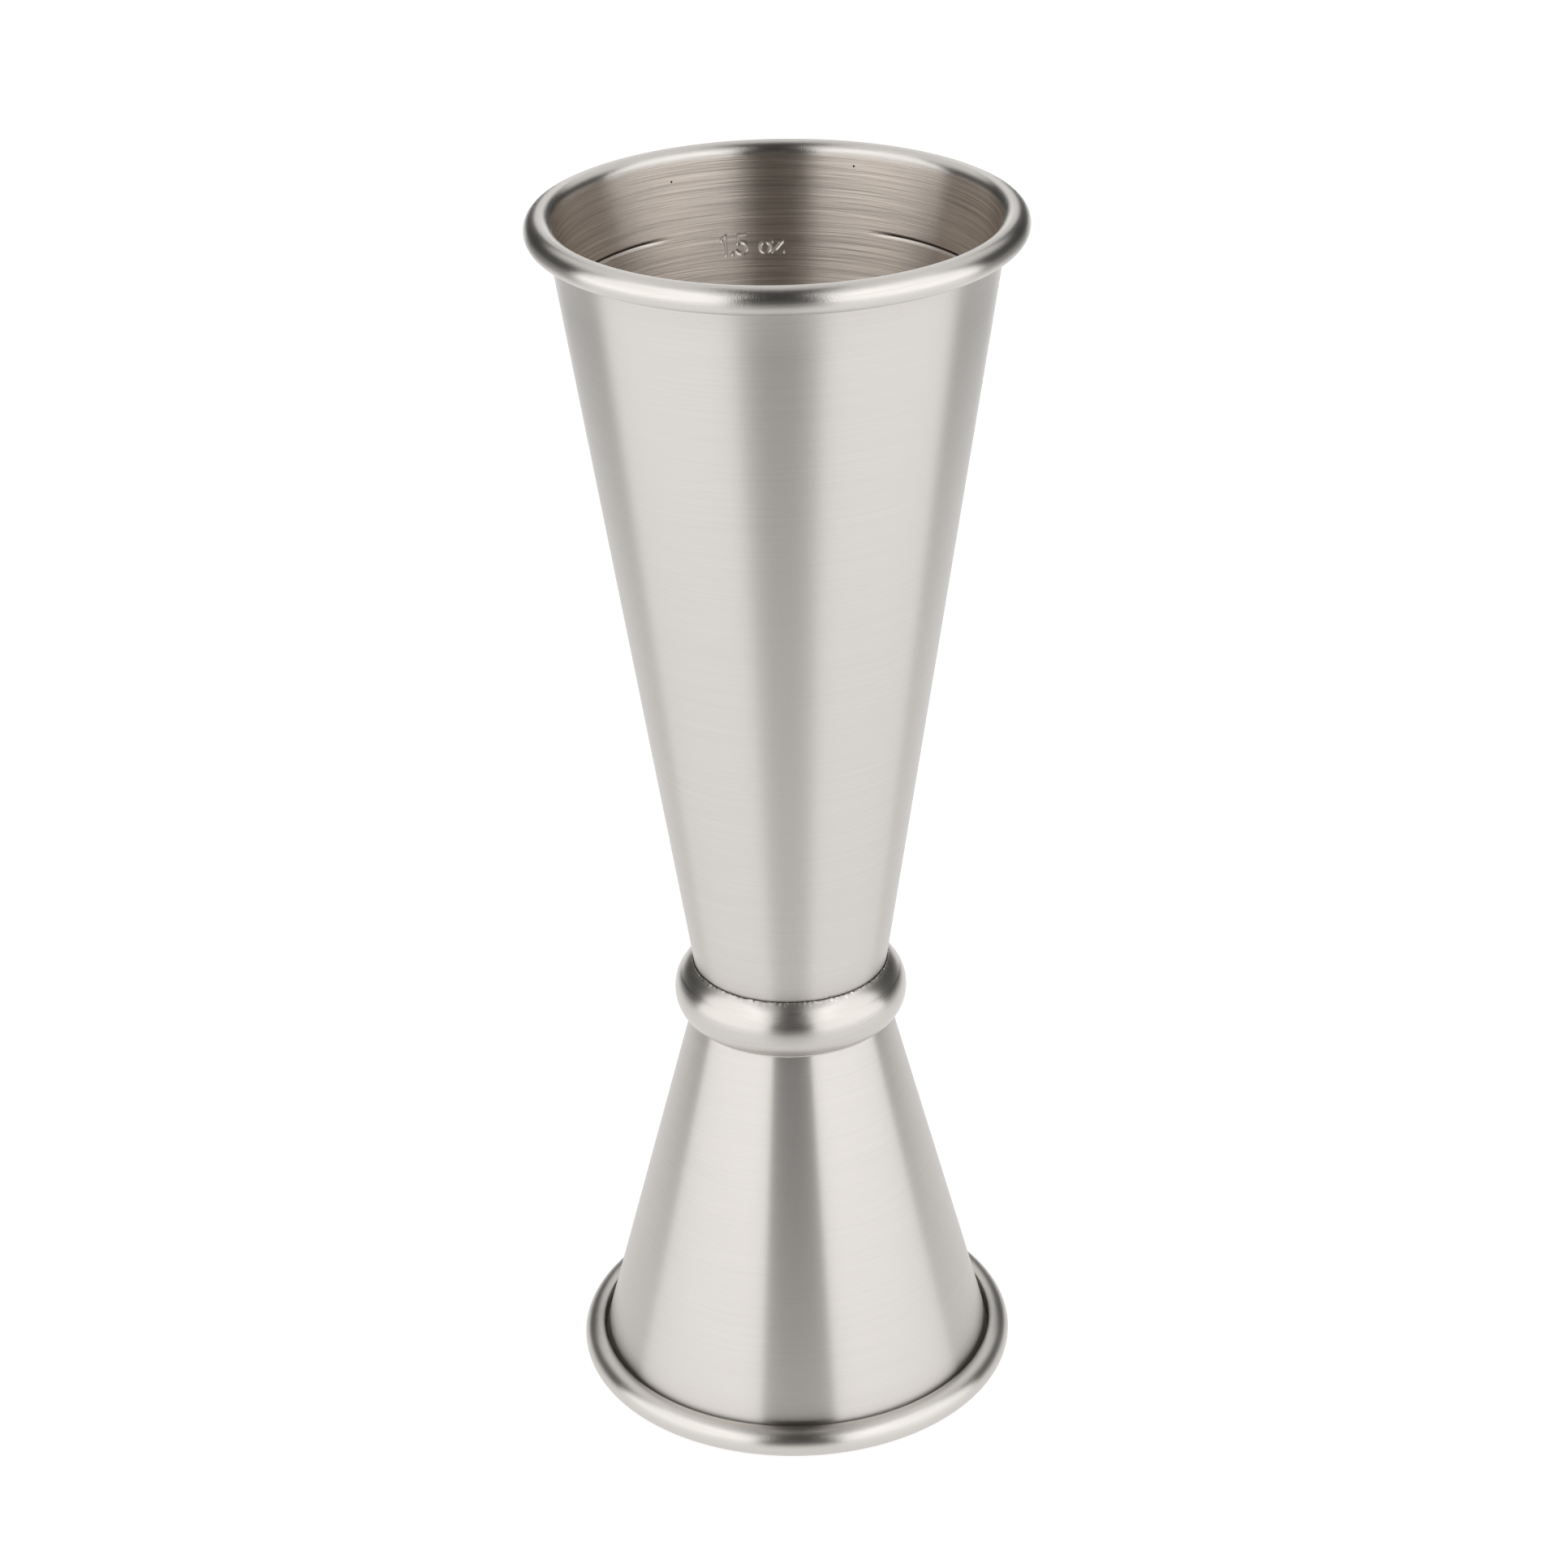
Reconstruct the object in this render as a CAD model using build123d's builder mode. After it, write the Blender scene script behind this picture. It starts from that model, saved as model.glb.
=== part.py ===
"""Double ended bar jigger, millimetres, +Z up.

Two thin steel cups stand foot to foot.  Each is a cone of sheet with a closed, rounded foot and
a mouth rolled outwards into a hollow bead.  The feet are tacked together by weld nuggets and
sealed by a ring of weld in the V between them.  A half-round collar covers the joint: it wedges
on the small cup's cone and is soldered along both edges.  The origin is on the axis, in the
plane that the small cup's rim stands on.
"""
from build123d import *
from math import cos, pi, radians, sqrt, tan
import os

os.makedirs("parts", exist_ok=True)

# Driving dimensions ---------------------------------------------------------------------------
height = 121.0
joint_z = 41.8               # plane where the two feet meet
sheet = 0.6                  # 24 gauge stainless
foot_gap = 0.3               # left between the feet by the weld nuggets
foot_bend = 1.0              # inside radius of the bend between floor and wall

large_foot_radius = 9.0      # outside of the cone, carried on to the joint plane
large_half_angle = 8.55
large_rim_radius = 22.7      # to the outside of the rolled bead
large_bead_radius = 1.25

small_foot_radius = 9.1
small_half_angle = 14.74
small_rim_radius = 21.8
small_bead_radius = 1.47

rim_land = 0.25              # flat worn on the crest of each rim
roll_overrun = 20.0          # degrees that the roll goes on past its half turn

fluid_ounce = 29573.5        # cubic millimetres
large_measure = 1.5 * fluid_ounce
small_measure = 0.75 * fluid_ounce
line_radius = 0.2            # half-round tool that pressed the measuring lines
line_depth = 0.12
line_start = 122.0           # polar angle where the large cup's line starts
line_sweep = 301.0           # it stops short of a full turn, where the measure is marked

collar_radius = 11.4
collar_half_height = 2.6
collar_bulge = 1.9           # how far the half-round stands out from its own centre
collar_clearance = 0.02

nugget_radius = 1.8
nugget_circle = 4.6
nugget_count = 3
weld_bead_radius = 9.0       # dressed flush so that the collar passes over it

solder_lap = 0.2             # width on the collar's edge
solder_hollow = 0.05         # how far its face is drawn in
upper_solder_rise = 0.6      # up the large cone, above the collar
upper_solder_depth = 0.5     # down the gap between the collar's bore and the large cone
lower_solder_rise = 0.35     # down the small cone, below the collar


# Cups -----------------------------------------------------------------------------------------
def outside_radius(foot_radius, half_angle, rise):
    """Radius of a cone's outside wall at a distance from the joint plane."""
    return foot_radius + rise * tan(radians(half_angle))


def inside_radius(foot_radius, half_angle, rise):
    """Radius of a cone's inside wall at a distance from the joint plane."""
    return outside_radius(foot_radius, half_angle, rise) - sheet / cos(radians(half_angle))


def cup_section(plane, depth, foot_radius, half_angle, rim_radius, bead_radius):
    """Half section of a cup, in a plane whose y axis runs from the joint plane to the mouth.

    The two faces of the sheet are drawn one inside the other: floor, bend, wall, shoulder, land
    and roll.  Each arc of the outside face has the centre of the inside face's arc.
    """
    slope = radians(half_angle)
    bead_centre = rim_radius - bead_radius
    wall_head = inside_radius(foot_radius, half_angle, depth)
    shoulder = (bead_centre - rim_land - wall_head) / tan((pi / 2 - slope) / 2)
    with BuildSketch(plane) as section:
        with BuildLine():
            axis_ends, roll_ends = [], []
            for inset in (0, sheet):
                floor = foot_gap / 2 + sheet - inset
                crest = depth - inset
                wall_shift = inset / cos(slope)
                foot = inside_radius(foot_radius, half_angle, floor) + wall_shift
                head = inside_radius(foot_radius, half_angle, crest) + wall_shift
                face = FilletPolyline(
                    (0, floor), (foot, floor), (head, crest), (bead_centre, crest),
                    radius=(foot_bend + inset, shoulder - inset),
                )
                roll = JernArc(
                    start=face @ 1, tangent=face % 1,
                    radius=bead_radius - inset, arc_size=-(180 + roll_overrun),
                )
                axis_ends.append(face @ 0)
                roll_ends.append(roll @ 1)
            Line(*axis_ends)
            Line(*roll_ends)
        make_face()
    return section.sketch


def measuring_line(plane, foot_radius, half_angle, measure):
    """Section of the tool that presses the line where a cup holds the measure.

    The brimless cup is a frustum, so the radius at the line is the cube root of the floor's
    radius cubed plus three times the measure times the wall's slope over pi.
    """
    floor = foot_gap / 2 + sheet
    slope = tan(radians(half_angle))
    floor_radius = inside_radius(foot_radius, half_angle, floor)
    radius = (floor_radius**3 + 3 * measure * slope / pi) ** (1 / 3)
    rise = floor + (radius - floor_radius) / slope
    with BuildSketch(plane) as section:
        with Locations((radius - line_radius + line_depth, rise)):
            Circle(line_radius)
    print(f"measure {measure:8.0f} mm3: line radius {radius:.2f}, {rise:.2f} from the joint")
    return section.sketch


upward = Plane(origin=(0, 0, joint_z), x_dir=(1, 0, 0), z_dir=(0, -1, 0))
downward = Plane(origin=(0, 0, joint_z), x_dir=(1, 0, 0), z_dir=(0, 1, 0))

with BuildPart() as large_cup:
    revolve(
        cup_section(
            upward, height - joint_z, large_foot_radius, large_half_angle,
            large_rim_radius, large_bead_radius,
        ),
        axis=Axis.Z,
    )
    revolve(
        measuring_line(
            upward.rotated((0, 0, line_start)),
            large_foot_radius, large_half_angle, large_measure,
        ),
        axis=Axis.Z, revolution_arc=line_sweep, mode=Mode.SUBTRACT,
    )
large_cup.part.label = "large_cup"
export_step(large_cup.part, "parts/large_cup.step")

with BuildPart() as small_cup:
    revolve(
        cup_section(
            downward, joint_z, small_foot_radius, small_half_angle,
            small_rim_radius, small_bead_radius,
        ),
        axis=Axis.Z,
    )
    revolve(
        measuring_line(downward, small_foot_radius, small_half_angle, small_measure),
        axis=Axis.Z, mode=Mode.SUBTRACT,
    )
small_cup.part.label = "small_cup"
export_step(small_cup.part, "parts/small_cup.step")


# Collar ---------------------------------------------------------------------------------------
bore_radius = collar_clearance + outside_radius(
    small_foot_radius, small_half_angle, collar_half_height
)
bulge_centre = collar_radius - collar_bulge
bore_offset = (bore_radius - bulge_centre) / collar_bulge
collar_edge = collar_half_height * sqrt(1 - bore_offset**2)   # where the bulge meets the bore

with BuildPart() as waist_collar:
    with BuildSketch(upward):
        with Locations((bulge_centre, 0)):
            Ellipse(collar_bulge, collar_half_height)
        with Locations((bore_radius, 0)):
            Rectangle(
                collar_radius, 2 * collar_half_height,
                align=(Align.MIN, Align.CENTER), mode=Mode.INTERSECT,
            )
    revolve(axis=Axis.Z)
waist_collar.part.label = "waist_collar"
export_step(waist_collar.part, "parts/waist_collar.step")

# Welds between the feet -----------------------------------------------------------------------
with BuildPart() as floor_spot_welds:
    with Locations((0, 0, joint_z)):
        with PolarLocations(nugget_circle, nugget_count):
            Cylinder(nugget_radius, foot_gap)
floor_spot_welds.part.label = "floor_spot_welds"
export_step(floor_spot_welds.part, "parts/floor_spot_welds.step")

# The ring of weld is drawn to the middle of both sheets and the cups are then taken from it.
weld_root_radius = inside_radius(
    small_foot_radius, small_half_angle, foot_gap / 2 + sheet + foot_bend
) - foot_bend / cos(radians(small_half_angle))
weld_root_reach = (foot_gap + sheet) / 2
weld_face_reach = 2 * sheet

with BuildPart() as waist_weld_bead:
    with BuildSketch(upward):
        Polygon(
            (weld_root_radius, weld_root_reach), (weld_root_radius, -weld_root_reach),
            (weld_bead_radius, -weld_face_reach), (weld_bead_radius, weld_face_reach),
            align=None,
        )
    revolve(axis=Axis.Z)
    add(large_cup.part, mode=Mode.SUBTRACT)
    add(small_cup.part, mode=Mode.SUBTRACT)
waist_weld_bead.part.label = "waist_weld_bead"
export_step(waist_weld_bead.part, "parts/waist_weld_bead.step")


# Solder along the collar's edges --------------------------------------------------------------
def solder_section(plane, foot_radius, half_angle, rise, depth):
    """Fillet of solder between a cone and the collar's edge, with a hollow face.

    It laps over the collar's edge, and the collar is then taken from it.
    """
    low = collar_edge - depth
    top = collar_edge + rise
    on_cone = (outside_radius(foot_radius, half_angle, top), top)
    on_collar = (bore_radius + solder_lap, collar_edge)
    with BuildSketch(plane) as section:
        with BuildLine():
            Line((outside_radius(foot_radius, half_angle, low), low), on_cone)
            SagittaArc(on_cone, on_collar, solder_hollow)
            Polyline(
                on_collar,
                (bore_radius + solder_lap, collar_edge - solder_lap),
                (bore_radius, low),
                (outside_radius(foot_radius, half_angle, low), low),
            )
        make_face()
    return section.sketch


with BuildPart() as collar_solder_upper:
    revolve(
        solder_section(
            upward, large_foot_radius, large_half_angle, upper_solder_rise, upper_solder_depth
        ),
        axis=Axis.Z,
    )
    add(waist_collar.part, mode=Mode.SUBTRACT)
collar_solder_upper.part.label = "collar_solder_upper"
export_step(collar_solder_upper.part, "parts/collar_solder_upper.step")

with BuildPart() as collar_solder_lower:
    revolve(
        solder_section(downward, small_foot_radius, small_half_angle, lower_solder_rise, 0),
        axis=Axis.Z,
    )
    add(waist_collar.part, mode=Mode.SUBTRACT)
collar_solder_lower.part.label = "collar_solder_lower"
export_step(collar_solder_lower.part, "parts/collar_solder_lower.step")
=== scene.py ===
# %% [markdown]
# # A brushed steel bar jigger
# A jigger is two spirit measures made back to back. Each cup is one piece of thin sheet steel,
# spun into a cone and then rolled outwards at the mouth, so that the cut edge is hidden and the
# lip is stiff. A half-round collar hides the place where the two feet meet.
#
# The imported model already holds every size. This script dresses it: each visible piece becomes
# a fine surface of revolution with the marks that brushing, rolling and soldering leave.

from math import cos, pi, radians, sin, sqrt, tan

import bpy
import numpy as np
from mathutils import Matrix, Vector


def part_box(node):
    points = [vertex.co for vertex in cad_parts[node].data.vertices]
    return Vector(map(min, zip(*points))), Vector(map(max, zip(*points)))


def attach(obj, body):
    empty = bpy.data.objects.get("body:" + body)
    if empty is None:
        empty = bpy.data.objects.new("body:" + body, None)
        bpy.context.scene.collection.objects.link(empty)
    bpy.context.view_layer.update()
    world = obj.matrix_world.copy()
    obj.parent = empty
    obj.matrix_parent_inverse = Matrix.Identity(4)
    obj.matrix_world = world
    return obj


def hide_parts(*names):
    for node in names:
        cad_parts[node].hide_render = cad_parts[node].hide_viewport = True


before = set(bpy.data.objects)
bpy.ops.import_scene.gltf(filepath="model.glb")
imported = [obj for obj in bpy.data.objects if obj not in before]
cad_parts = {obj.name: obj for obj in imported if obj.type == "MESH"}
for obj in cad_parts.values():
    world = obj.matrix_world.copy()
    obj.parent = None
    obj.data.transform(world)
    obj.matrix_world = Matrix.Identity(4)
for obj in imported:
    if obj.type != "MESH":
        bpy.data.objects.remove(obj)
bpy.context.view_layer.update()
print("nodes:", sorted(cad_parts))

# %% [markdown]
# ## Sizes
# Everything is in metres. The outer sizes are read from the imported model's boxes, so they
# follow it. The sheet, the slopes of the cones and the sections of the rolled beads can't be
# read from a box, so they are named here once.

# %% Sizes read from the model
MM = 0.001
large_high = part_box("large_cup")[1]
small_low, small_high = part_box("small_cup")
collar_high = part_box("waist_collar")[1]
nugget_low, nugget_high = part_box("floor_spot_welds")
upper_solder_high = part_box("collar_solder_upper")[1]
lower_solder_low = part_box("collar_solder_lower")[0]
LOWER_SEAM_TUCK = 0.25 * MM

HEIGHT = large_high.z
JOINT_Z = (nugget_low.z + nugget_high.z) / 2
FOOT_GAP = nugget_high.z - nugget_low.z
COLLAR_RADIUS = collar_high.x
UPPER_SEAM = upper_solder_high.z - JOINT_Z
LOWER_SEAM = JOINT_Z - lower_solder_low.z - LOWER_SEAM_TUCK
print(f"height {HEIGHT / MM:.1f} mm, joint {JOINT_Z / MM:.1f} mm")
print(f"collar radius {COLLAR_RADIUS / MM:.1f} mm")

# %% Sizes of the sheet
SHEET = 0.6 * MM
FOOT_BEND = 1.0 * MM
RIM_LAND = 0.25 * MM
ROLL_OVERRUN = radians(20)
EDGE_ROUND = 0.1 * MM
LARGE = dict(foot=9.0 * MM, slope=radians(8.55), rim=large_high.x, bead=1.25 * MM,
             depth=HEIGHT - JOINT_Z)
SMALL = dict(foot=9.1 * MM, slope=radians(14.74), rim=small_high.x, bead=1.47 * MM,
             depth=JOINT_Z - small_low.z)
print(f"cups {LARGE['depth'] / MM:.1f} and {SMALL['depth'] / MM:.1f} mm deep")

# %% [markdown]
# ## The camera
# The camera looks slightly down at the jigger, so that the inside of the large cup shows. It
# stands back a third of a metre with a long lens, and it is turned by about one degree, the way
# a hand-held camera is.

# %% Camera
CAMERA_PITCH = radians(26.38)
CAMERA_ROLL = radians(-1.07)
CAMERA_DISTANCE = 357.8 * MM
CAMERA_LENS = 85.5
AIM = Vector((-0.3 * MM, 0, 63.7 * MM))


def look_matrix(place, aim, roll=0.0):
    """Turns local -Z from place to aim with local +Y upwards, then rolls about local Z."""
    turn = (place - aim).to_track_quat("Z", "Y").to_matrix().to_4x4()
    return Matrix.Translation(place) @ turn @ Matrix.Rotation(roll, 4, "Z")


camera = bpy.data.objects.new("camera", bpy.data.cameras.new("camera"))
bpy.context.scene.collection.objects.link(camera)
camera.data.lens = CAMERA_LENS
camera.data.sensor_width = 36
camera.data.clip_start = 10 * MM
back = Vector((0, -cos(CAMERA_PITCH), sin(CAMERA_PITCH)))
camera.matrix_world = look_matrix(AIM + CAMERA_DISTANCE * back, AIM, CAMERA_ROLL)
bpy.context.scene.camera = camera
print("camera at", [round(c / MM, 1) for c in camera.location], "mm")

# %% [markdown]
# ## Light
# Brushed metal has no look of its own: it shows what stands around it. The product table has a
# tall panel of light on each side, a ceiling of three panels, and a narrow white card behind.
# The camera looks in through the gap at the front, and that dark gap, with the painted shade on
# the table in front, is the dark stripe down the middle of the steel. The dark room between the
# side panels and the card, with the painted shade on the table's sides, makes the thinner dark
# stripes near its edges.

# %% Panels of light
bpy.context.scene.view_settings.view_transform = "Standard"
PANEL_TOP = 1.0
SIDE_NEAR, SIDE_FAR = Vector((0.35, -0.95, 0)), Vector((0.78, 0.12, 0))
CEILING_GAP = 0.20
CEILING_MIDDLE = 0.32
CEILING_BACK = Vector((1.05, 1.45, 0))
CARD_AWAY, CARD_HALF, CARD_HIGH = 1.1, 0.17, 0.75
SIDE_LIGHT, CEILING_LIGHT, BACK_LIGHT, CARD_LIGHT = 1.48, 0.82, 0.9, 1.1
ROOM_LIGHT, ROOM_COLOUR = 0.06, (1.0, 0.98, 0.95, 1)


def panel(name, corner, across, up, radiance):
    """A flat light over the rectangle from corner along two edges, and it faces the jigger.

    Its power is radiance times pi times its area, which is what a matt emitter needs.
    """
    corner, across, up = Vector(corner), Vector(across), Vector(up)
    middle = corner + (across + up) / 2
    outward = across.cross(up).normalized()
    if outward.dot(middle - AIM) < 0:
        corner, across, outward = corner + across, -across, -outward
    light = bpy.data.lights.new(name, "AREA")
    light.shape = "RECTANGLE"
    light.size, light.size_y = across.length, up.length
    light.energy = radiance * pi * across.length * up.length
    lamp = bpy.data.objects.new(name, light)
    bpy.context.scene.collection.objects.link(lamp)
    axes = Matrix((across.normalized(), up.normalized(), outward)).transposed()
    lamp.matrix_world = Matrix.Translation(middle) @ axes.to_4x4()
    print(f"{name}: {across.length:.2f} by {up.length:.2f} m")


def mirrored(vector, side):
    """The vector, or its mirror image in the plane through the camera."""
    return Vector((side * vector.x, vector.y, vector.z))


for side, word in ((-1, "left"), (1, "right")):
    panel(f"side_panel_{word}", mirrored(SIDE_NEAR, side), mirrored(SIDE_FAR - SIDE_NEAR, side),
          (0, 0, PANEL_TOP), SIDE_LIGHT)
    panel(f"ceiling_{word}", (side * CEILING_GAP, SIDE_NEAR.y, PANEL_TOP),
          (side * (SIDE_FAR.x - CEILING_GAP), 0, 0), (0, CEILING_MIDDLE - SIDE_NEAR.y, 0),
          CEILING_LIGHT)
panel("ceiling_back", (-CEILING_BACK.x, CEILING_MIDDLE, PANEL_TOP), (2 * CEILING_BACK.x, 0, 0),
      (0, CEILING_BACK.y - CEILING_MIDDLE, 0), BACK_LIGHT)
panel("white_card", (-CARD_HALF, CARD_AWAY, 0), (2 * CARD_HALF, 0, 0), (0, 0, CARD_HIGH), CARD_LIGHT)

world = bpy.data.worlds.new("dark_room")
bpy.context.scene.world = world
world.use_nodes = True
world.node_tree.nodes["Background"].inputs["Color"].default_value = ROOM_COLOUR
world.node_tree.nodes["Background"].inputs["Strength"].default_value = ROOM_LIGHT

# %% [markdown]
# ## Node helpers
# A material is a small graph. These helpers add a node and wire its inputs in one line, so the
# finishes below read as recipes.


# %% Node helpers
def new_material(name):
    """A material with an empty graph; returns it with its principled shader and its tree."""
    material = bpy.data.materials.new(name)
    material.use_nodes = True
    tree = material.node_tree
    return material, tree, tree.nodes["Principled BSDF"]


def node(tree, kind, inputs=(), **settings):
    """Adds a node, sets its properties, and sets or links its inputs by name or number."""
    made = tree.nodes.new(kind)
    for name, value in settings.items():
        setattr(made, name, value)
    for key, value in dict(inputs).items():
        if isinstance(value, bpy.types.NodeSocket):
            tree.links.new(value, made.inputs[key])
        else:
            made.inputs[key].default_value = value
    return made


def maths(tree, operation, a, b=0.0, clamp=False):
    """One Math node; returns its value."""
    return node(tree, "ShaderNodeMath", {0: a, 1: b}, operation=operation, use_clamp=clamp).outputs[0]


def blend_numbers(tree, factor, a, b):
    """Moves from a to b as factor goes from 0 to 1."""
    return node(tree, "ShaderNodeMapRange", {"Value": factor, "To Min": a, "To Max": b}).outputs[0]


def blend_colours(tree, factor, a, b):
    """Moves from colour a to colour b as factor goes from 0 to 1."""
    mix = node(tree, "ShaderNodeMix", {"Factor": factor}, data_type="RGBA")
    for socket, colour in ((mix.inputs[6], a), (mix.inputs[7], b)):
        if isinstance(colour, bpy.types.NodeSocket):
            tree.links.new(colour, socket)
        else:
            socket.default_value = (*colour, 1)
    return mix.outputs[2]


# %% [markdown]
# ## The table
# The table is white and glows. Shade is painted into its colour and its glow on three parts of
# it, with nothing in the scene that casts it: a wedge in front, below the camera, and a wedge on
# each side towards the back. The steel reflects this painted shade. A wedge lies between two
# bearings, which are angles from the camera's side round to the back. It darkens in two steps,
# and each step says where it starts, where it is full, and how much light it takes.


# %% Wedges of painted shade on the table
FRONT_EDGE = radians(33), radians(5)
SIDE_EDGES = (radians(95), radians(108)), (radians(156), radians(144))
FRONT_STEPS = (0.04, 0.06, 0.18), (0.14, 0.21, 0.58)
SIDE_STEPS = (0.10, 0.22, 0.40), (0.20, 0.34, 0.25)
SIDE_SPREAD = 0.19
FLOOR_HALF = 3.0
FLOOR_GLOW = 0.76
PAPER_DARK, PAPER_LIGHT = (0.38, 0.38, 0.38), (0.40, 0.40, 0.40)


def fade(tree, value, start, stop):
    """Rises smoothly from 0 at start to 1 at stop."""
    return node(tree, "ShaderNodeMapRange", {"Value": value, "From Min": start, "From Max": stop},
                interpolation_type="SMOOTHSTEP").outputs[0]


def shade(tree, value, start, full, taken):
    """The light that one step takes: none before start, and the whole of taken from full on."""
    return maths(tree, "MULTIPLY", fade(tree, value, start, full), taken)


floor_material, tree, shader = new_material("pale_table")
place = node(tree, "ShaderNodeTexCoord").outputs["Object"]
split = node(tree, "ShaderNodeSeparateXYZ", {0: place}).outputs
away = node(tree, "ShaderNodeVectorMath", {0: place}, operation="LENGTH").outputs["Value"]
sideways = maths(tree, "ABSOLUTE", split["X"])
aside = maths(tree, "SUBTRACT", sideways, maths(tree, "MULTIPLY", split["Y"], SIDE_SPREAD))
bearing = maths(tree, "ARCTAN2", sideways, maths(tree, "MULTIPLY", split["Y"], -1.0))
# Painted shade: the front wedge and the two side wedges.
front = maths(tree, "ADD", shade(tree, away, *FRONT_STEPS[0]), shade(tree, away, *FRONT_STEPS[1]))
front = maths(tree, "MULTIPLY", front, fade(tree, bearing, *FRONT_EDGE))
sides = maths(tree, "ADD", shade(tree, aside, *SIDE_STEPS[0]), shade(tree, away, *SIDE_STEPS[1]))
for edge in SIDE_EDGES:
    sides = maths(tree, "MULTIPLY", sides, fade(tree, bearing, *edge))
painted_light = maths(tree, "MULTIPLY", maths(tree, "SUBTRACT", 1.0, front),
            maths(tree, "SUBTRACT", 1.0, sides))

# %% Table
grain = node(tree, "ShaderNodeTexNoise", {"Scale": 60.0, "Detail": 4.0}).outputs["Fac"]
paper = blend_colours(tree, grain, PAPER_DARK, PAPER_LIGHT)
# The painted shade of the wedges darkens the table's colour here and its glow below.
shaded = node(tree, "ShaderNodeVectorMath", {0: paper, 1: painted_light}, operation="MULTIPLY").outputs[0]
tree.links.new(shaded, shader.inputs["Base Color"])
shader.inputs["Roughness"].default_value = 0.9
shader.inputs["Emission Color"].default_value = (1, 1, 1, 1)
tree.links.new(maths(tree, "MULTIPLY", painted_light, FLOOR_GLOW), shader.inputs["Emission Strength"])
corners = [(-1, -1), (1, -1), (1, 1), (-1, 1)]
floor_mesh = bpy.data.meshes.new("table")
floor_mesh.from_pydata([(x * FLOOR_HALF, y * FLOOR_HALF, 0) for x, y in corners], [], [(0, 1, 2, 3)])
floor_mesh.materials.append(floor_material)
floor = bpy.data.objects.new("table", floor_mesh)
bpy.context.scene.collection.objects.link(floor)
print(f"table {2 * FLOOR_HALF:.0f} m wide")

# %% [markdown]
# ## Turned shapes
# Every piece of the jigger is round, so one helper makes them all: it carries a half section
# round the axis. The section is a list of points (radius, height). Where it touches the axis,
# the ring shrinks to one point, the pole, which is closed with a fan of triangles.


# %% Sections
def arc(centre, radius, start, stop, count):
    """Points on a circle: centre plus radius times (cos, sin) of angles from start to stop."""
    angle = np.linspace(start, stop, count)
    return np.column_stack([centre[0] + radius * np.cos(angle), centre[1] + radius * np.sin(angle)])


# %% Lathe
def lathe(name, section, angles, relief=None, marks=None):
    """A surface of revolution: the section (r, z) carried to each angle, and closed on itself.

    The point is (r cos a, r sin a, z). The section runs with the air on its left. A relief, an
    array with a row for each section point and a column for each angle, moves the surface
    outwards, along the section's left-hand normal. The UV map holds the distance along the
    section and the distance round it, in metres. Marks are named numbers for each section
    point, or for each point of the grid, and a material can read them.
    """
    ahead = np.roll(section, -1, axis=0) - np.roll(section, 1, axis=0)
    ahead /= np.linalg.norm(ahead, axis=1)[:, None]
    rows, columns = len(section), len(angles)
    lift = np.zeros((rows, columns)) if relief is None else relief
    radius = section[:, :1] - ahead[:, 1:] * lift
    height = section[:, 1:] + ahead[:, :1] * lift
    grid = np.stack([radius * np.cos(angles), radius * np.sin(angles), height], axis=-1)

    at_pole = section[:, 0] < 1e-9
    number = np.arange(rows * columns).reshape(rows, columns)
    number[at_pole] = number[at_pole][:, :1]
    bands = rows - 1 if at_pole[0] and at_pole[-1] else rows
    here = np.arange(bands)
    there = (here + 1) % rows
    beside = np.roll(number, -1, axis=1)
    faces = np.stack([number[here], number[there], beside[there], beside[here]], axis=-1)
    faces = faces.reshape(-1, 4)
    keep = np.ones(faces.shape, bool)
    keep[faces[:, 1] == faces[:, 2], 2] = False
    keep[faces[:, 0] == faces[:, 3], 3] = False

    step = np.linalg.norm(np.roll(section, -1, axis=0) - section, axis=1)
    along = np.append(0, np.cumsum(step))
    around = np.append(angles, angles[0] + 2 * pi) * section[:, 0].max()
    u0, v0 = [a.ravel() for a in np.meshgrid(along[:bands], around[:-1], indexing="ij")]
    u1, v1 = [a.ravel() for a in np.meshgrid(along[1:bands + 1], around[1:], indexing="ij")]
    uv = np.stack([np.stack(c, axis=-1) for c in ((u0, v0), (u1, v0), (u1, v1), (u0, v1))], axis=1)

    used, faces = np.unique(faces, return_inverse=True)
    faces = faces.reshape(-1, 4)
    corners = keep.sum(axis=1)
    mesh = bpy.data.meshes.new(name)
    mesh.vertices.add(len(used))
    mesh.vertices.foreach_set("co", grid.reshape(-1, 3)[used].ravel())
    mesh.loops.add(int(corners.sum()))
    mesh.loops.foreach_set("vertex_index", faces[keep])
    mesh.polygons.add(len(faces))
    mesh.polygons.foreach_set("loop_start", np.append(0, np.cumsum(corners)[:-1]))
    mesh.polygons.foreach_set("use_smooth", np.ones(len(faces), bool))
    mesh.update(calc_edges=True)
    mesh.uv_layers.new(name="turned").data.foreach_set("uv", uv[keep].ravel())
    for mark, values in (marks or {}).items():
        values = np.broadcast_to(np.reshape(values, (rows, -1)), (rows, columns))
        mesh.attributes.new(mark, "FLOAT", "POINT").data.foreach_set("value", values.ravel()[used])
    piece = bpy.data.objects.new(name, mesh)
    bpy.context.scene.collection.objects.link(piece)
    print(f"{name}: {rows} rows, {columns} columns, {int((corners - 2).sum())} triangles")
    return piece


# %% [markdown]
# ## The cups
# Both cups have the same section, drawn from the joint outwards: the floor, a bend, the straight
# wall, a shoulder, a narrow flat worn on the crest, and the roll, which goes a little past half
# a turn and stops short of the wall. The return path is the other face of the sheet, with the
# same centres. The roll is hollow, and its cut edge shows as a thin dark gap.


# %% Section of a cup
def inside_radius(cup, rise):
    """Radius of the inside wall at a height above the joint plane."""
    return cup["foot"] + rise * tan(cup["slope"]) - SHEET / cos(cup["slope"])


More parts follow.
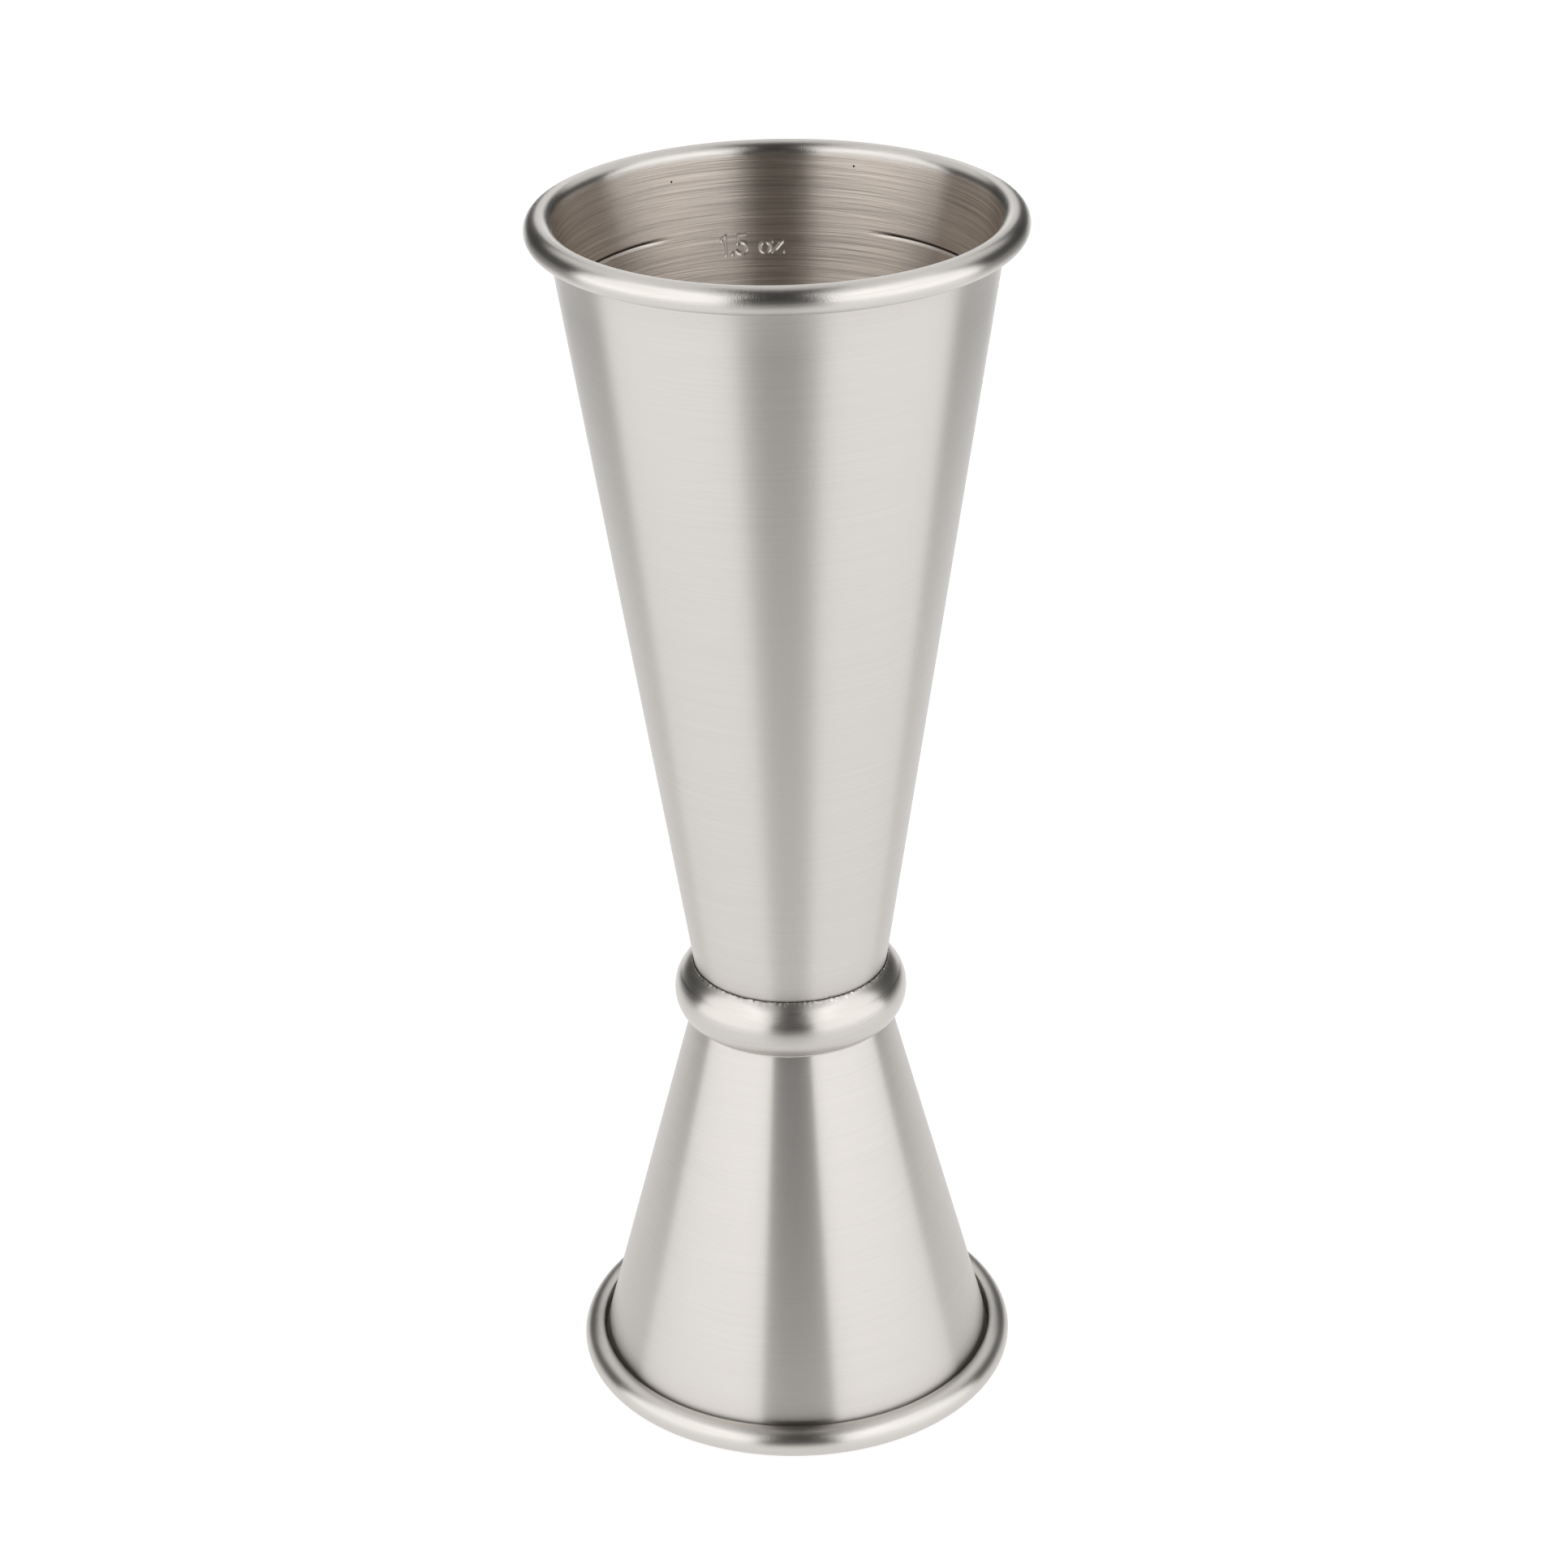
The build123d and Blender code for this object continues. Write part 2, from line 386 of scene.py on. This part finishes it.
def cup_section(cup, wall_rises):
    """The closed section of a cup, with the wall's inside face sampled at the given heights."""
    slope = cup["slope"]
    floor = FOOT_GAP / 2 + SHEET
    bend = (inside_radius(cup, floor + FOOT_BEND) - FOOT_BEND / cos(slope), floor + FOOT_BEND)
    crest = cup["rim"] - cup["bead"]
    shoulder = (crest - RIM_LAND - inside_radius(cup, cup["depth"])) / tan((pi / 2 - slope) / 2)
    turn = (crest - RIM_LAND, cup["depth"] - shoulder)
    roll = (crest, cup["depth"] - cup["bead"])
    roll_end = -pi / 2 - ROLL_OVERRUN
    along_edge = np.linspace(0, pi, 9)
    edge_r = cup["bead"] - SHEET / 2 + SHEET / 2 * np.cos(along_edge)
    edge_a = roll_end - EDGE_ROUND * np.sin(along_edge) / cup["bead"]
    edge = np.column_stack([roll[0] + edge_r * np.cos(edge_a), roll[1] + edge_r * np.sin(edge_a)])
    wall = np.column_stack([inside_radius(cup, wall_rises), wall_rises])
    runs = {
        "floor": [(0, floor), (bend[0] / 2, floor)],
        "bend": arc(bend, FOOT_BEND, -pi / 2, -slope, 9),
        "inside": wall,
        "shoulder": arc(turn, shoulder, pi - slope, pi / 2, 11),
        "roll": arc(roll, cup["bead"], pi / 2, roll_end, 36),
        "edge": edge[1:-1],
        "hollow": arc(roll, cup["bead"] - SHEET, roll_end, pi / 2, 20),
        "under_shoulder": arc(turn, shoulder - SHEET, pi / 2, pi - slope, 7),
        "outside": [],
        "outer_bend": arc(bend, FOOT_BEND + SHEET, -slope, -pi / 2, 9),
        "foot": [(bend[0] / 2, floor - SHEET), (0, floor - SHEET)],
    }
    top, bottom = runs["under_shoulder"][-1], runs["outer_bend"][0]
    share = np.linspace(0, 1, 14)[1:-1, None]
    runs["outside"] = top + share * (bottom - top)
    points = np.vstack([np.asarray(run, float) for run in runs.values()])
    label = np.concatenate([[name] * len(run) for name, run in runs.items()])
    return points, label


# %% [markdown]
# ## The measuring line and its mark
# The line is pressed into the wall where the cup holds its measure. It fades out at both ends,
# where the tool lifts, and the measure is marked between them. Both are real grooves in the
# mesh: the depth is largest on the middle of the stroke and falls off as a parabola.

# %% Where the line lies
FLUID_OUNCE = 29.5735e-6
LINE_HALF_WIDTH = 0.26 * MM
LINE_DEPTH = 0.17 * MM
LINE_SPLIT = 0.03 * MM
LINE_ENDS = radians(63), radians(122)
LINE_TAPER = radians(9)


def line_rise(cup, ounces):
    """Height above the joint that holds a measure: a frustum's radius cubed grows evenly."""
    floor = FOOT_GAP / 2 + SHEET
    start = inside_radius(cup, floor)
    reach = (start**3 + 3 * ounces * FLUID_OUNCE * tan(cup["slope"]) / pi) ** (1 / 3)
    return floor + (reach - start) / tan(cup["slope"])


def groove(distance, half_width, depth):
    """Depth of a pressed stroke at a distance from its middle line."""
    return depth * np.clip(1 - (distance / half_width) ** 2, 0, None)


large_line = line_rise(LARGE, 1.5)
small_line = line_rise(SMALL, 0.75)
print(f"lines at {large_line / MM:.2f} and {small_line / MM:.2f} mm from the joint")

# %% Strokes of the measure's mark
# Plain single strokes on a grid where a tall character is one unit high.
belly = arc((0.24, 0.31), 0.31, radians(125), radians(-150), 11)
letters = {
    "1": (0.55, [[(0.08, 0.80), (0.30, 1.0), (0.30, 0.0)]]),
    ".": (0.35, [[(0.10, 0.0), (0.10, 0.04)]]),
    "5": (0.85, [[(0.52, 1.0), (0.09, 1.0), (0.06, 0.56), *belly]]),
    "o": (0.70, [arc((0.28, 0.28), 0.28, 0, 2 * pi, 17)]),
    "z": (0.60, [[(0.02, 0.56), (0.50, 0.56), (0.0, 0.0), (0.54, 0.0)]]),
    " ": (0.42, []),
}


def strokes_of(text):
    """All strokes of a text as an array of segments (start, end), and the text's width."""
    segments, pen = [], 0.0
    for letter in text:
        width, lines = letters[letter]
        for line in lines:
            points = np.array(line) + (pen, 0)
            segments.append(np.stack([points[:-1], points[1:]], axis=1))
        pen += width
    return np.vstack(segments), pen


def distance_to(segments, x, y):
    """Distance from each point to the nearest segment.

    The nearest place on a segment is its start plus its length times a share held to 0..1.
    """
    start = segments[:, 0][:, None, None]
    run = segments[:, 1][:, None, None] - start
    point = np.stack([x, y], axis=-1)[None]
    share = np.clip(((point - start) * run).sum(-1) / (run**2).sum(-1), 0, 1)
    return np.linalg.norm(point - start - share[..., None] * run, axis=-1).min(axis=0)


# %% Relief of the large cup
MARK_LEFT = radians(106.5)
MARK_HEIGHT = 1.75 * MM
MARK_FOOT = large_line - 2.3 * MM
STROKE_HALF_WIDTH = 0.16 * MM
STROKE_DEPTH = 0.08 * MM
# Distances to the strokes are worked out only this near to the mark, in units of its height.
NEAR = 0.3

mark_strokes, mark_units = strokes_of("1.5 oz")
mark_radius = inside_radius(LARGE, MARK_FOOT)
mark_sweep = mark_units * MARK_HEIGHT / mark_radius
print(f"mark is {mark_units * MARK_HEIGHT / MM:.1f} mm wide")

# Rows and columns are close together only where something is pressed into the wall.
coarse = np.linspace(0, 2 * pi, 300, endpoint=False)
large_angles = np.unique(np.append(coarse, np.linspace(MARK_LEFT - mark_sweep, MARK_LEFT, 200)))
# The rows just beside the line stay where they are, so that the groove has clean edges.
CALM = 0.1 * MM
calm_rows = LINE_HALF_WIDTH + CALM * np.array([1, 2])
line_rows = np.linspace(-LINE_HALF_WIDTH, LINE_HALF_WIDTH, 9)
line_rows = np.concatenate([-calm_rows[::-1], line_rows, calm_rows])
large_rises = np.unique(np.concatenate([
    np.linspace(FOOT_BEND * 2, LARGE["depth"] - 1.2 * MM, 14),
    large_line + line_rows,
    np.linspace(MARK_FOOT - 0.4 * MM, MARK_FOOT + MARK_HEIGHT + 0.4 * MM, 34),
]))
large_section, large_label = cup_section(LARGE, large_rises)

rise, angle = large_section[:, 1][:, None], large_angles[None, :]
on_inside = (large_label == "inside")[:, None]
taper = np.clip(np.maximum(angle - LINE_ENDS[1], LINE_ENDS[0] - angle) / LINE_TAPER, 0, 1)
line_cut = groove(rise - large_line, LINE_HALF_WIDTH, LINE_DEPTH) * taper * on_inside
across = (MARK_LEFT - angle) * mark_radius / MARK_HEIGHT + 0 * rise
up = (rise - MARK_FOOT) / MARK_HEIGHT + 0 * angle
near_mark = (across > -NEAR) & (across < mark_units) & (up > -NEAR) & (up < 1 + NEAR)
to_stroke = np.full(across.shape, np.inf)
rows_near, columns_near = near_mark.any(axis=1), near_mark.any(axis=0)
block = np.ix_(rows_near, columns_near)
to_stroke[block] = distance_to(mark_strokes, across[block], up[block]) * MARK_HEIGHT
mark_cut = groove(np.minimum(to_stroke, 1.0), STROKE_HALF_WIDTH, STROKE_DEPTH) * on_inside
cut = line_cut + mark_cut
# Painted shade along the upper half of the line; a painted highlight along its lower half and in the
# mark's strokes.
groove_shade = line_cut / LINE_DEPTH * (rise > large_line - LINE_SPLIT)
pressed = mark_cut / STROKE_DEPTH + line_cut / LINE_DEPTH * (rise < large_line - LINE_SPLIT)
print(f"deepest cut {cut.max() / MM:.2f} mm")

# %% [markdown]
# ## Finishes
# All the steel is one metal, brushed round the axis. Fine parallel scratches bend light in one
# direction only, across themselves, so a lamp is drawn out into a long streak along the cone.
# The shader has a number for that, anisotropy, and a tangent that says which way the scratches
# run: here along the UV map's first axis, which is the way the highlight spreads.


# %% Brushed steel
def streaks(tree, across, along, lean=0.0, detail=3.0):
    """Noise drawn out round the axis: its grain is across wide on the section and along round it.

    A lean tips the streaks, as when the brush moves along the cup while the cup turns.
    """
    place = node(tree, "ShaderNodeTexCoord").outputs["Object"]
    split = node(tree, "ShaderNodeSeparateXYZ", {0: place})
    turned = node(tree, "ShaderNodeUVMap", uv_map="turned").outputs[0]
    tipped = maths(tree, "MULTIPLY", split.outputs["X"], lean)
    distance = maths(tree, "ADD", node(tree, "ShaderNodeSeparateXYZ", {0: turned}).outputs["X"], tipped)
    vector = node(tree, "ShaderNodeCombineXYZ", {
        "X": maths(tree, "MULTIPLY", split.outputs["X"], 1 / along),
        "Y": maths(tree, "MULTIPLY", split.outputs["Y"], 1 / along),
        "Z": maths(tree, "MULTIPLY", distance, 1 / across),
    })
    return node(tree, "ShaderNodeTexNoise",
                {"Vector": vector.outputs[0], "Scale": 1.0, "Detail": detail}).outputs["Fac"]


def mark(tree, name):
    """The value of one of the mesh's named marks."""
    return node(tree, "ShaderNodeAttribute", attribute_name=name).outputs["Fac"]


def swing(tree, noise, strength):
    """A noise made to run evenly about zero, times a strength."""
    return maths(tree, "MULTIPLY", maths(tree, "SUBTRACT", noise, 0.5), strength)


def brushed(tree, shader, anisotropy):
    """Makes the shader a metal that is brushed round the axis."""
    shader.inputs["Metallic"].default_value = 1.0
    shader.inputs["Anisotropic"].default_value = anisotropy
    tangent = node(tree, "ShaderNodeTangent", direction_type="UV_MAP", uv_map="turned").outputs[0]
    tree.links.new(tangent, shader.inputs["Tangent"])


# %% Pits in the large cup, painted as dark spots of shade
PIT_RADIUS = 0.13 * MM


def on_wall(cup, rise, angle):
    """A place on the inside wall of a cup, at a height above the joint and an angle."""
    radius = inside_radius(cup, rise)
    return Vector((radius * cos(angle), radius * sin(angle), JOINT_Z + rise))


def spot(tree, place, radius):
    """1 at a place in the model, falling to 0 at a distance of one radius."""
    here = node(tree, "ShaderNodeTexCoord").outputs["Object"]
    away = node(tree, "ShaderNodeVectorMath", {0: here, 1: tuple(place)}, operation="DISTANCE")
    return node(tree, "ShaderNodeMapRange", {"Value": away.outputs["Value"], "From Min": radius,
                                             "From Max": 0.6 * radius}).outputs[0]


pits = [on_wall(LARGE, LARGE["depth"] - 2.7 * MM, radians(119.5)),
        on_wall(LARGE, LARGE["depth"] - 1.9 * MM, radians(68.5))]
print(f"{len(pits)} pits of {PIT_RADIUS / MM:.2f} mm radius")

# %% [markdown]
# ### The steel of the cups
# Two layers of streaks do most of the work: fine ones, which are single scratches, and wider
# bands, which are passes of the brush. Inside the cups both are stronger and the steel is
# warmer. The rolled beads are smoother. The measuring line has painted shade along its upper
# half and a painted highlight along its lower half, and the mark's strokes carry the painted
# highlight too. Pairs of numbers are for the outside and the inside of a cup.

# %% Colour of the cups
OUTSIDE_STEEL = (0.60, 0.575, 0.545)
INSIDE_STEEL = (0.665, 0.603, 0.547)
# A painted highlight for the line's lower half and the mark's strokes, and painted shade for the line's
# upper half.
GROOVE_HIGHLIGHT = (0.92, 0.87, 0.82)
GROOVE_HIGHLIGHT_SHARE = 0.7
GROOVE_SHADE = (0.05, 0.04, 0.035)
GROOVE_SHADE_REACH = 1.3
# Painted shade of the pits.
PIT = (0.03, 0.02, 0.015)
FINE_TONE = 0.15, 1.35
BAND_TONE = 0.0, 0.45
CUP_ANISOTROPY = 0.97

cup_steel, tree, shader = new_material("cup_steel")
inside = mark(tree, "inside")
fine = streaks(tree, 0.09 * MM, 14 * MM, lean=0.02)
bands = streaks(tree, 0.28 * MM, 30 * MM, lean=-0.03)
tone = maths(tree, "ADD", swing(tree, fine, blend_numbers(tree, inside, *FINE_TONE)),
             swing(tree, bands, blend_numbers(tree, inside, *BAND_TONE)))
colour = blend_colours(tree, inside, OUTSIDE_STEEL, INSIDE_STEEL)
colour = node(tree, "ShaderNodeVectorMath", {0: colour, 1: maths(tree, "ADD", tone, 1.0)},
              operation="MULTIPLY").outputs[0]
# Each pit is a dark spot painted into the colour: painted shade for a hollow that the mesh doesn't
# have.
for pit in pits:
    colour = blend_colours(tree, spot(tree, pit, PIT_RADIUS), colour, PIT)
# Painted shade in the upper half of the line.
groove_shade_share = maths(tree, "MULTIPLY", mark(tree, "groove_shade"), GROOVE_SHADE_REACH, clamp=True)
colour = blend_colours(tree, groove_shade_share, colour, GROOVE_SHADE)
# Painted highlight on the lower half of the line and in the mark's strokes.
shine = maths(tree, "MULTIPLY", mark(tree, "pressed"), GROOVE_HIGHLIGHT_SHARE)
colour = blend_colours(tree, shine, colour, GROOVE_HIGHLIGHT)
tree.links.new(colour, shader.inputs["Base Color"])
brushed(tree, shader, CUP_ANISOTROPY)

# %% Roughness and scratches of the cups
WALL_ROUGHNESS = 0.29, 0.36
ROLLED_ROUGHNESS = 0.26
BAND_ROUGHNESS = 0.06
FINE_BUMP = 4e-6, 2.2e-5
BAND_BUMP = 0.0, 2e-5
SPECKLE_BUMP = 0.8e-5

rolled = mark(tree, "rolled")
rough = blend_numbers(tree, rolled, blend_numbers(tree, inside, *WALL_ROUGHNESS), ROLLED_ROUGHNESS)
uneven = swing(tree, bands, maths(tree, "MULTIPLY", inside, BAND_ROUGHNESS))
tree.links.new(maths(tree, "ADD", rough, uneven), shader.inputs["Roughness"])
here = node(tree, "ShaderNodeTexCoord").outputs["Object"]
speckle = node(tree, "ShaderNodeTexNoise", {"Vector": here, "Scale": 9000.0, "Detail": 2.0})
speckle = maths(tree, "MULTIPLY", speckle.outputs["Fac"], maths(tree, "MULTIPLY", rolled, SPECKLE_BUMP))
height = maths(tree, "ADD", maths(tree, "MULTIPLY", fine, blend_numbers(tree, inside, *FINE_BUMP)),
               maths(tree, "MULTIPLY", bands, blend_numbers(tree, inside, *BAND_BUMP)))
height = maths(tree, "ADD", height, speckle)
bump = node(tree, "ShaderNodeBump", {"Height": height, "Strength": 1.0, "Distance": 1.0})
tree.links.new(bump.outputs[0], shader.inputs["Normal"])
print("cup_steel:", len(tree.nodes), "nodes")

# %% Large cup
ROLLED = ("shoulder", "roll", "edge", "hollow", "under_shoulder")
INSIDE = ("floor", "bend", "inside")
large_profile = large_section + (0, JOINT_Z)
large_cup = lathe(
    "large_cup_steel", large_profile, large_angles, relief=-cut,
    marks={"inside": np.isin(large_label, INSIDE), "rolled": np.isin(large_label, ROLLED),
           "groove_shade": groove_shade, "pressed": pressed},
)
large_cup.data.materials.append(cup_steel)
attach(large_cup, "root")
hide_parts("large_cup")

# %% Small cup
small_rises = np.unique(np.append(np.linspace(FOOT_BEND * 2, SMALL["depth"] - 1.4 * MM, 12),
                                  small_line + line_rows))
small_section, small_label = cup_section(SMALL, small_rises)
small_profile = (small_section * (1, -1) + (0, JOINT_Z))[::-1]
small_label = small_label[::-1]
small_angles = np.linspace(0, 2 * pi, 480, endpoint=False)
small_cut = groove(JOINT_Z - small_profile[:, 1] - small_line, LINE_HALF_WIDTH, LINE_DEPTH)
small_cut *= small_label == "inside"
small_cup = lathe(
    "small_cup_steel", small_profile, small_angles,
    relief=-small_cut[:, None] * np.ones(len(small_angles)),
    marks={"inside": np.isin(small_label, INSIDE), "rolled": np.isin(small_label, ROLLED)},
)
small_cup.data.materials.append(cup_steel)
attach(small_cup, "root")
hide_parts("small_cup")

# %% [markdown]
# ## The collar
# A turned ring, half round outside. Its bore is plain and wedges on the small cone. A torus
# would be quicker, but it has no flat bore, so the lathe carries the real section round. The
# ring was dressed after soldering, with a finer and shorter brushing than the cups have.

# %% Collar
COLLAR_BULGE = 1.9 * MM
COLLAR_HALF_HEIGHT = 2.6 * MM
BULGE_MIDDLE = COLLAR_RADIUS - COLLAR_BULGE
BORE_PLAY = 0.02 * MM
BORE = SMALL["foot"] + COLLAR_HALF_HEIGHT * tan(SMALL["slope"]) + BORE_PLAY


def on_bulge(angles):
    """Points (radius, rise) on the collar's half ellipse, at angles from its middle line."""
    radius = BULGE_MIDDLE + COLLAR_BULGE * np.cos(angles)
    return np.column_stack([radius, COLLAR_HALF_HEIGHT * np.sin(angles)])


bore_angle = np.arccos((BORE - BULGE_MIDDLE) / COLLAR_BULGE)
bulge = on_bulge(np.linspace(bore_angle, -bore_angle, 44))
bore = np.column_stack([np.full(5, BORE), np.linspace(bulge[-1, 1], bulge[0, 1], 7)[1:-1]])
collar_section = np.vstack([bore, bulge]) + (0, JOINT_Z)
collar_angles = np.linspace(0, 2 * pi, 360, endpoint=False)
collar = lathe("waist_collar_steel", collar_section, collar_angles)

# %% Collar steel
COLLAR_LIGHT, COLLAR_DARK = (0.60, 0.575, 0.545), (0.53, 0.505, 0.475)
SATIN_ROUGHNESS = 0.24, 0.34
SATIN_BUMP = 0.9e-5
SATIN_ANISOTROPY = 0.6


def satin(tree, shader):
    """A finer, shorter brushing than the cups have; returns its colour for others to paint on."""
    brushed(tree, shader, SATIN_ANISOTROPY)
    fine = streaks(tree, 0.12 * MM, 6 * MM, lean=0.05)
    tree.links.new(blend_numbers(tree, fine, *SATIN_ROUGHNESS), shader.inputs["Roughness"])
    height = maths(tree, "MULTIPLY", fine, SATIN_BUMP)
    bump = node(tree, "ShaderNodeBump", {"Height": height, "Distance": 1.0})
    tree.links.new(bump.outputs[0], shader.inputs["Normal"])
    return blend_colours(tree, fine, COLLAR_DARK, COLLAR_LIGHT)


collar_steel, tree, shader = new_material("collar_steel")
tree.links.new(satin(tree, shader), shader.inputs["Base Color"])
collar.data.materials.append(collar_steel)
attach(collar, "root")
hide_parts("waist_collar")

# %% [markdown]
# ## The soldered seams
# Solder fills the corner between the collar and each cone. It was brushed flush with the collar,
# so it carries on the collar's curve up to the cone. It stops at a thin ragged line, where dark
# flux stays in the crack and a few bright crumbs of solder stand on its edge.


# %% Section of a seam
def outside_radius(cup, rise):
    """Radius of the outside wall at a height above the joint plane."""
    return cup["foot"] + rise * tan(cup["slope"])


CRACK_WIDTH = 0.09 * MM
CRACK_DEPTH = 0.10 * MM
LIP_ROUND = 0.05 * MM
HAIR = 0.01 * MM
SEAM_TILT = radians(52)


def seam_section(cup, seam_rise, leave):
    """The closed section of a seam, and a number for each point that is 1 in the crack.

    The face is a cubic curve. It leaves the bulge at the angle leave, along the bulge's own
    tangent, and reaches the lip at SEAM_TILT: P = (1-t)^3 A + 3(1-t)^2 t B + 3(1-t) t^2 C + t^3 D.
    """
    start = on_bulge(np.array([leave]))[0] - (HAIR, HAIR)
    tangent = np.array([-COLLAR_BULGE * sin(leave), COLLAR_HALF_HEIGHT * cos(leave)])
    tangent /= np.linalg.norm(tangent)
    wall = outside_radius(cup, seam_rise) + HAIR
    stop = np.array([wall + CRACK_WIDTH + LIP_ROUND, seam_rise])
    pull = 0.4 * np.linalg.norm(stop - start)
    share = np.linspace(1, 0, 26)[:, None]
    back = pull * np.array([sin(SEAM_TILT), -cos(SEAM_TILT)])
    face = ((1 - share) ** 3 * start + 3 * (1 - share) ** 2 * share * (start + pull * tangent)
            + 3 * (1 - share) * share**2 * (stop + back) + share**3 * stop)
    turned = LIP_ROUND * np.array([cos(SEAM_TILT), sin(SEAM_TILT)])
    lip = arc(stop - turned, LIP_ROUND, pi, SEAM_TILT, 8)[:-1]
    floor = [(wall, seam_rise - CRACK_DEPTH), (wall + CRACK_WIDTH, seam_rise - CRACK_DEPTH)]
    under = on_bulge(np.linspace(leave, bore_angle, 6)) - (3 * HAIR, 3 * HAIR)
    heel = [(wall - HAIR, under[-1][1])]
    section = np.vstack([heel, floor, lip, face, under])
    flux = np.concatenate([[1, 1, 1], np.linspace(1, 0.7, len(lip)), 0.6 * share[:, 0] ** 12,
                           np.zeros(len(under))])
    return section, flux


def wander(angles, waves, seed):
    """A closed wavy line with unit spread: cosines of whole numbers of turns with seeded phases."""
    turns = np.arange(1, waves + 1)
    phases = np.random.default_rng(seed).uniform(0, 2 * pi, waves)
    return np.cos(np.outer(angles, turns) + phases).sum(axis=1) / sqrt(waves / 2)


# %% Solder and flux
FLUX = (0.09, 0.065, 0.05)
FLUX_RAGGED = 1.6
FLUX_EDGE = 0.45, 0.75
CRUMB = (0.80, 0.78, 0.75)
CRUMB_LEVEL = 0.68
# There are more crumbs towards the right, between these two places.
CRUMBS_FEW, CRUMBS_MANY = -6 * MM, 8 * MM
CRUMBS_MORE = 0.09

seam_solder, tree, shader = new_material("seam_solder")
dressed = satin(tree, shader)
flux = mark(tree, "flux")
here = node(tree, "ShaderNodeTexCoord").outputs["Object"]
ragged = node(tree, "ShaderNodeTexNoise", {"Vector": here, "Scale": 3000.0, "Detail": 3.0})
dirty = maths(tree, "ADD", flux, swing(tree, ragged.outputs["Fac"], FLUX_RAGGED))
dirty = node(tree, "ShaderNodeMapRange",
             {"Value": dirty, "From Min": FLUX_EDGE[0], "From Max": FLUX_EDGE[1]}).outputs[0]
dirty = maths(tree, "MULTIPLY", dirty, maths(tree, "GREATER_THAN", flux, 0.02))

crumbs = node(tree, "ShaderNodeTexNoise", {"Vector": here, "Scale": 4500.0, "Detail": 1.0})
right = node(tree, "ShaderNodeSeparateXYZ", {0: here}).outputs["X"]
to_right = node(tree, "ShaderNodeMapRange",
                {"Value": right, "From Min": CRUMBS_FEW, "From Max": CRUMBS_MANY}).outputs[0]
bright = maths(tree, "ADD", crumbs.outputs["Fac"], maths(tree, "MULTIPLY", to_right, CRUMBS_MORE))
bright = maths(tree, "GREATER_THAN", bright, CRUMB_LEVEL)
on_lip = maths(tree, "MULTIPLY", maths(tree, "GREATER_THAN", flux, 0.05),
               maths(tree, "LESS_THAN", flux, 0.98))
bright = maths(tree, "MULTIPLY", bright, on_lip)
colour = blend_colours(tree, bright, blend_colours(tree, dirty, dressed, FLUX), CRUMB)
tree.links.new(colour, shader.inputs["Base Color"])
tree.links.new(maths(tree, "SUBTRACT", 1.0, dirty, clamp=True), shader.inputs["Metallic"])
print("seam_solder:", len(tree.nodes), "nodes")

# %% Upper seam
LIP_WAVE = 0.014 * MM
SHORT_WAVES, LONG_WAVES = 120, 30
UPPER_LEAVE, LOWER_LEAVE = radians(42), radians(74)
seam_angles = np.linspace(0, 2 * pi, 720, endpoint=False)


def seam(cup, seam_rise, leave, seed):
    """A seam's section, flux and relief. The relief lets only the lip wander, in and out."""
    section, flux = seam_section(cup, seam_rise, leave)
    ragged = (wander(seam_angles, SHORT_WAVES, seed)
              + wander(seam_angles, LONG_WAVES, seed + 1))
    near_lip = np.where(flux < 1, flux, 0)
    return section, flux, LIP_WAVE * np.outer(near_lip, ragged)


section, flux, relief = seam(LARGE, UPPER_SEAM, UPPER_LEAVE, 5)
section = section + (0, JOINT_Z)
upper_seam = lathe("collar_solder_upper_seam", section, seam_angles, relief, {"flux": flux})
upper_seam.data.materials.append(seam_solder)
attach(upper_seam, "root")
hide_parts("collar_solder_upper")

# %% Lower seam
section, flux, relief = seam(SMALL, LOWER_SEAM, LOWER_LEAVE, 9)
section = (section * (1, -1) + (0, JOINT_Z))[::-1]
lower_seam = lathe("collar_solder_lower_seam", section, seam_angles, relief[::-1], {"flux": flux[::-1]})
lower_seam.data.materials.append(seam_solder)
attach(lower_seam, "root")
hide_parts("collar_solder_lower")

# %% [markdown]
# ## The hidden welds
# Three spot welds hold the two floors together, and a ring of weld closes the feet. They keep
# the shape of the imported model. Their finish is that of welded stainless steel: grey, with the
# straw, purple and blue that heat leaves, and fine ripples round the ring.

# %% Weld metal
HEAT_COLOURS = ((0.30, (0.20, 0.25, 0.38)), (0.42, (0.34, 0.23, 0.27)), (0.52, (0.52, 0.42, 0.26)),
                (0.66, (0.50, 0.48, 0.45)))
RIPPLES, RIPPLE_HEIGHT = 90.0, 4e-5
WELD_ROUGHNESS = 0.35, 0.55

weld_metal, tree, shader = new_material("weld_metal")
here = node(tree, "ShaderNodeTexCoord").outputs["Object"]
heat = node(tree, "ShaderNodeTexNoise", {"Vector": here, "Scale": 350.0, "Detail": 3.0}).outputs["Fac"]
tint = node(tree, "ShaderNodeValToRGB", {0: heat})
stops = tint.color_ramp.elements
while len(stops) < len(HEAT_COLOURS):
    stops.new(0.5)
for stop, (position, colour) in zip(stops, HEAT_COLOURS):
    stop.position = position
    stop.color = (*colour, 1)
split = node(tree, "ShaderNodeSeparateXYZ", {0: here})
turn = maths(tree, "ARCTAN2", split.outputs["Y"], split.outputs["X"])
ripples = maths(tree, "SINE", maths(tree, "MULTIPLY", turn, RIPPLES))
height = maths(tree, "MULTIPLY", ripples, RIPPLE_HEIGHT)
bump = node(tree, "ShaderNodeBump", {"Height": height, "Distance": 1.0})
tree.links.new(tint.outputs[0], shader.inputs["Base Color"])
tree.links.new(bump.outputs[0], shader.inputs["Normal"])
tree.links.new(blend_numbers(tree, heat, *WELD_ROUGHNESS), shader.inputs["Roughness"])
shader.inputs["Metallic"].default_value = 1.0
for name in ("floor_spot_welds", "waist_weld_bead"):
    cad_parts[name].data.materials[0] = weld_metal
print("weld_metal:", len(tree.nodes), "nodes")
